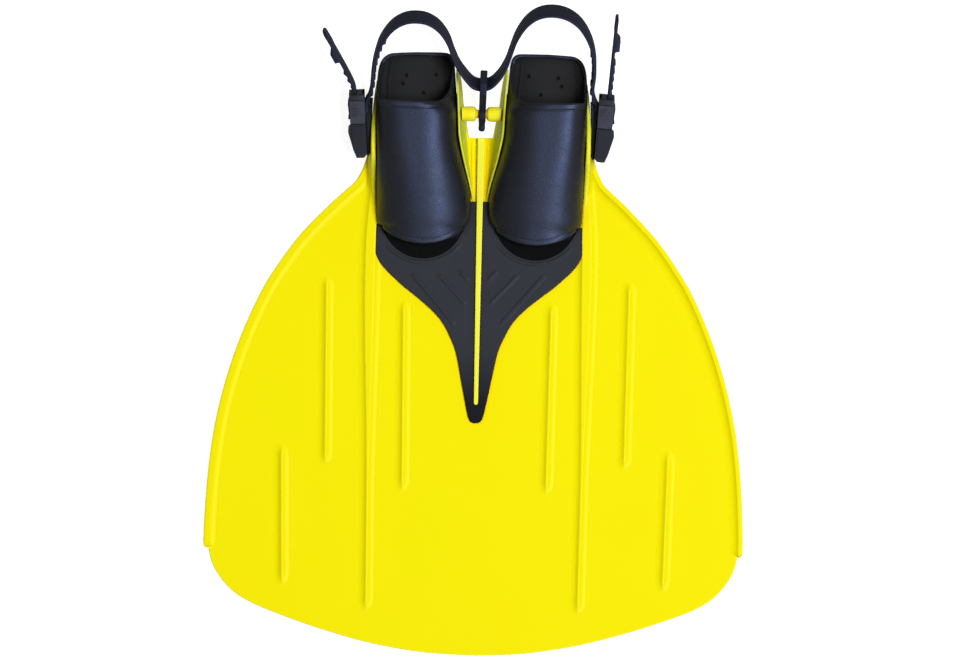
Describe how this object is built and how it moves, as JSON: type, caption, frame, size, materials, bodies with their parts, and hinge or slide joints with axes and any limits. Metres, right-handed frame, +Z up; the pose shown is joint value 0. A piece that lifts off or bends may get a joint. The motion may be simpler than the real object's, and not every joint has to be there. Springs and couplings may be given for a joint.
{
  "type": "monofin",
  "caption": "Wide single-blade swim fin for both feet: ribbed blade, open-heel foot pockets, toe web, and a toothed heel strap on quick-release buckles.",
  "frame": {"origin": "centre of the footprint, on the plane that the ribs and rails rest on", "axes": "+Z up out of the foot pockets, +Y toward the heels along the fin, +X to the wearer's right when the blade points ahead and the soles are down"},
  "size_m": [0.54, 0.6532, 0.0792],
  "materials": {
    "yellow_plastic": "satin-gloss moulded yellow plastic",
    "black_rubber": "fine-grained black rubber with a soft sheen",
    "buckle_plastic": "moulded black nylon",
    "pin_steel": "stainless pin"
  },
  "bodies": {
    "blade": {"blade": "yellow_plastic", "left_foot_pocket": "black_rubber", "right_foot_pocket": "black_rubber", "toe_web": "black_rubber"},
    "harness": {"heel_strap": "black_rubber", "left_buckle_housing": "buckle_plastic", "right_buckle_housing": "buckle_plastic"},
    "keeper": {"strap_keeper": "black_rubber"},
    "right_insert": {"right_buckle_insert": "buckle_plastic", "right_lever_pin": "pin_steel", "right_roller_pin": "pin_steel"},
    "right_lever": {"right_lever": "buckle_plastic"},
    "right_roller": {"right_roller": "buckle_plastic"},
    "right_upper_arm": {"right_upper_arm": "buckle_plastic"},
    "right_lower_arm": {"right_lower_arm": "buckle_plastic"},
    "left_insert": {"left_buckle_insert": "buckle_plastic", "left_lever_pin": "pin_steel", "left_roller_pin": "pin_steel"},
    "left_lever": {"left_lever": "buckle_plastic"},
    "left_roller": {"left_roller": "buckle_plastic"},
    "left_upper_arm": {"left_upper_arm": "buckle_plastic"},
    "left_lower_arm": {"left_lower_arm": "buckle_plastic"}
  },
  "joints": [
    {"name": "harness_swing", "type": "hinge", "parent": "blade", "child": "harness", "pos_m": [0, 0.182, 0.024], "axis": [1, 0, 0], "range_deg": [-5, 8]},
    {"name": "keeper_swing", "type": "hinge", "parent": "blade", "child": "keeper", "pos_m": [0, 0.2155, 0.022], "axis": [1, 0, 0], "range_deg": [-9.6, 15.3]},
    {"name": "right_release", "type": "slide", "parent": "harness", "child": "right_insert", "axis": [0.061, 0.983, 0.1733], "range_m": [0, 0.026], "deforming": ["heel_strap", "right_upper_arm", "right_lower_arm"]},
    {"name": "right_lever_lift", "type": "hinge", "parent": "right_insert", "child": "right_lever", "pos_m": [0.13105, 0.22446, 0.03149], "axis": [0, -0.1736, 0.9848], "range_deg": [0, 15], "stiffness_Nm_per_rad": 0.005, "springref_deg": -17.19},
    {"name": "right_roller_spin", "type": "hinge", "parent": "right_insert", "child": "right_roller", "pos_m": [0.12083, 0.21807, 0.03036], "axis": [0, -0.1736, 0.9848], "continuous": true},
    {"name": "right_arm_squeeze", "type": "hinge", "parent": "right_insert", "child": "right_upper_arm", "pos_m": [0.12463, 0.22483, 0.0478], "axis": [0.9981, -0.0601, -0.0106], "range_deg": [0, 5], "stiffness_Nm_per_rad": 0.02, "springref_deg": -5.73},
    {"name": "right_lower_arm_squeeze", "type": "hinge", "parent": "right_insert", "child": "right_lower_arm", "pos_m": [0.12463, 0.23039, 0.01629], "axis": [0.9981, -0.0601, -0.0106], "range_deg": [-5, 0], "stiffness_Nm_per_rad": 0.02, "springref_deg": 5.73},
    {"name": "left_release", "type": "slide", "parent": "harness", "child": "left_insert", "axis": [-0.061, 0.983, 0.1733], "range_m": [0, 0.026], "deforming": ["heel_strap", "left_upper_arm", "left_lower_arm"]},
    {"name": "left_lever_lift", "type": "hinge", "parent": "left_insert", "child": "left_lever", "pos_m": [-0.13105, 0.22446, 0.03149], "axis": [0, 0.1736, -0.9848], "range_deg": [0, 15], "stiffness_Nm_per_rad": 0.005, "springref_deg": -17.19},
    {"name": "left_roller_spin", "type": "hinge", "parent": "left_insert", "child": "left_roller", "pos_m": [-0.12083, 0.21807, 0.03036], "axis": [0, -0.1736, 0.9848], "continuous": true},
    {"name": "left_arm_squeeze", "type": "hinge", "parent": "left_insert", "child": "left_upper_arm", "pos_m": [-0.12463, 0.22483, 0.0478], "axis": [0.9981, 0.0601, 0.0106], "range_deg": [0, 5], "stiffness_Nm_per_rad": 0.02, "springref_deg": -5.73},
    {"name": "left_lower_arm_squeeze", "type": "hinge", "parent": "left_insert", "child": "left_lower_arm", "pos_m": [-0.12463, 0.23039, 0.01629], "axis": [0.9981, 0.0601, 0.0106], "range_deg": [-5, 0], "stiffness_Nm_per_rad": 0.02, "springref_deg": 5.73}
  ],
  "couplings": [
    {"joint": "keeper_swing", "follows": "harness_swing", "ratio": 1.9},
    {"joint": "right_lower_arm_squeeze", "follows": "right_arm_squeeze", "ratio": -1},
    {"joint": "left_lower_arm_squeeze", "follows": "left_arm_squeeze", "ratio": -1}
  ]
}
